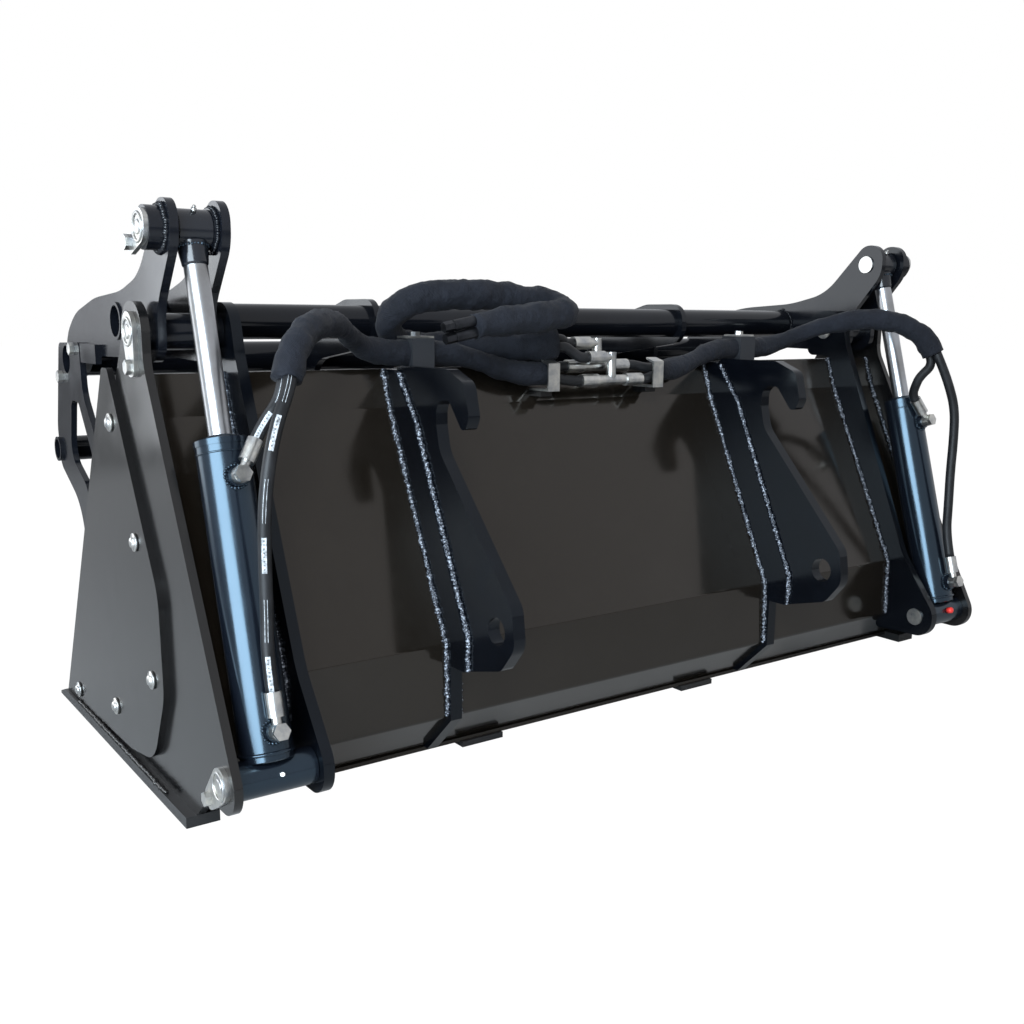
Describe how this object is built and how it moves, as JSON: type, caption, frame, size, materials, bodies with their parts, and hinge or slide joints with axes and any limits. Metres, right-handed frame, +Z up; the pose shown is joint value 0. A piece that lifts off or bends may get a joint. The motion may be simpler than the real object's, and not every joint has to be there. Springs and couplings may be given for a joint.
{
  "type": "silage grapple",
  "caption": "Closed loader bucket with coupler hooks on its folded back and a tined upper jaw opened by hydraulic rams through hoses in textile sleeves.",
  "frame": {"origin": "middle of the bounding box of everything but the hoses, on the ground line under the runners", "axes": "+X across the machine to the driver's right, +Y forward out of the bucket's mouth, +Z up"},
  "size_m": [2.04, 1.1018, 1.0478],
  "materials": {
    "black_paint": "satin powder coat",
    "edge_paint": "worn satin",
    "ram_paint": "gloss",
    "chrome_rod": "polished",
    "zinc": "zinc plated",
    "clamp_plastic": "matte",
    "hose_rubber": "matte",
    "sleeve_fabric": "woven"
  },
  "bodies": {
    "bucket": {"back_wall": "black_paint", "floor_plate": "black_paint", "runner_left": "black_paint", "runner_right": "black_paint", "side_plate_left": "black_paint", "side_plate_right": "black_paint", "side_cover_left": "black_paint", "side_cover_right": "black_paint", "ear_plate_left": "black_paint", "ear_plate_right": "black_paint", "hook_rib_left": "black_paint", "hook_rib_right": "black_paint", "hook_plate_left": "black_paint", "hook_plate_right": "black_paint", "skid_feet": "black_paint", "hook_brackets": "black_paint", "cutting_edge": "edge_paint", "cover_bolts": "zinc", "pivot_pins": "zinc", "lower_pins": "zinc", "bucket_pin_bolts": "zinc", "clamp_tops": "zinc", "hose_hooks": "zinc", "tee_fittings": "zinc", "supply_fittings": "zinc", "hose_clamps": "clamp_plastic", "hose_left_low": "hose_rubber", "hose_left_high": "hose_rubber", "hose_right_low": "hose_rubber", "hose_right_high": "hose_rubber", "hose_stubs": "hose_rubber", "sleeve_left": "sleeve_fabric", "sleeve_right": "sleeve_fabric", "supply_sleeve": "sleeve_fabric"},
    "jaw": {"main_tube": "black_paint", "middle_tube": "black_paint", "front_tube": "black_paint", "arm_outer_left": "black_paint", "arm_outer_right": "black_paint", "arm_inner_left": "black_paint", "arm_inner_right": "black_paint", "jaw_hubs": "black_paint", "arm_bosses": "black_paint", "end_tine_left": "black_paint", "end_tine_right": "black_paint", "long_tine_left": "black_paint", "long_tine_centre": "black_paint", "long_tine_right": "black_paint", "short_tines": "black_paint", "jaw_bolts": "zinc", "tine_stops": "black_paint", "upper_pins": "zinc"},
    "barrel_left": {"barrel_left": "ram_paint", "gland_left": "ram_paint", "port_fittings_left": "zinc"},
    "rod_left": {"rod_left": "chrome_rod"},
    "barrel_right": {"barrel_right": "ram_paint", "gland_right": "ram_paint", "port_fittings_right": "zinc"},
    "rod_right": {"rod_right": "chrome_rod"}
  },
  "joints": [
    {"name": "jaw_open", "type": "hinge", "parent": "bucket", "child": "jaw", "pos_m": [0, -0.09944, 0.8312], "axis": [1, 0, 0], "range_deg": [0, 55]},
    {"name": "barrel_swing_left", "type": "hinge", "parent": "bucket", "child": "barrel_left", "pos_m": [-0.92, -0.44004, 0.1229], "axis": [1, 0, 0], "range_deg": [0, 5.3], "deforming": ["hose_left_low", "hose_left_high"]},
    {"name": "rod_slide_left", "type": "slide", "parent": "barrel_left", "child": "rod_left", "axis": [0, 0.2772, 0.9608], "range_m": [-0.16, 0]},
    {"name": "barrel_swing_right", "type": "hinge", "parent": "bucket", "child": "barrel_right", "pos_m": [0.92, -0.44004, 0.1229], "axis": [1, 0, 0], "range_deg": [0, 5.3], "deforming": ["hose_right_low", "hose_right_high"]},
    {"name": "rod_slide_right", "type": "slide", "parent": "barrel_right", "child": "rod_right", "axis": [0, 0.2772, 0.9608], "range_m": [-0.16, 0]}
  ],
  "couplings": [
    {"joint": "barrel_swing_left", "follows": "jaw_open", "ratio": 0.09492},
    {"joint": "rod_slide_left", "follows": "jaw_open", "m_per_rad": -0.16558},
    {"joint": "barrel_swing_right", "follows": "jaw_open", "ratio": 0.09492},
    {"joint": "rod_slide_right", "follows": "jaw_open", "m_per_rad": -0.16558}
  ]
}
